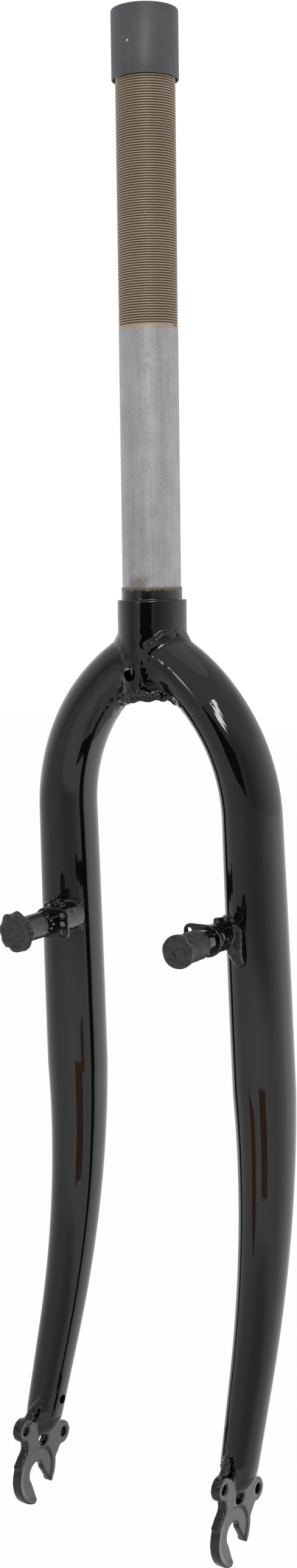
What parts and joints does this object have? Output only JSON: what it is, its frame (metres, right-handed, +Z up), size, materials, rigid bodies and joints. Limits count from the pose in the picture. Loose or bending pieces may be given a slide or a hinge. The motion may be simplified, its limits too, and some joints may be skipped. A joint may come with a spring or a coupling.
{
  "type": "bicycle fork",
  "caption": "Rigid unicrown steel bicycle fork with a threaded steerer, curved tapering blades, posts for rim brakes, and slotted fork ends with mudguard eyelets.",
  "frame": {"origin": "on the steerer's axis at the crown shoulder, the flat that the headset's crown race rests on", "axes": "+Z up the steerer, -Y towards the front of the bicycle, +X towards the right blade as seen in the picture, which is the rider's left"},
  "size_m": [0.127, 0.0733, 0.6616],
  "materials": {
    "black_paint": "gloss black paint over steel",
    "bare_steel": "bare drawn steel tube with a cut thread and light rust stains",
    "sleeve_plastic": "thin matte grey plastic"
  },
  "bodies": {
    "root": {"steerer_tube": "bare_steel", "thread_protector": "sleeve_plastic", "crown_weld": "black_paint", "left_blade": "black_paint", "right_blade": "black_paint", "left_fork_end": "black_paint", "right_fork_end": "black_paint", "left_end_weld": "black_paint", "right_end_weld": "black_paint", "left_brake_boss": "black_paint", "right_brake_boss": "black_paint", "left_boss_weld": "black_paint", "right_boss_weld": "black_paint", "left_spring_plate": "black_paint", "right_spring_plate": "black_paint", "left_brake_post": "black_paint", "right_brake_post": "black_paint", "left_post_cap": "black_paint", "right_post_cap": "black_paint"}
  },
  "joints": []
}
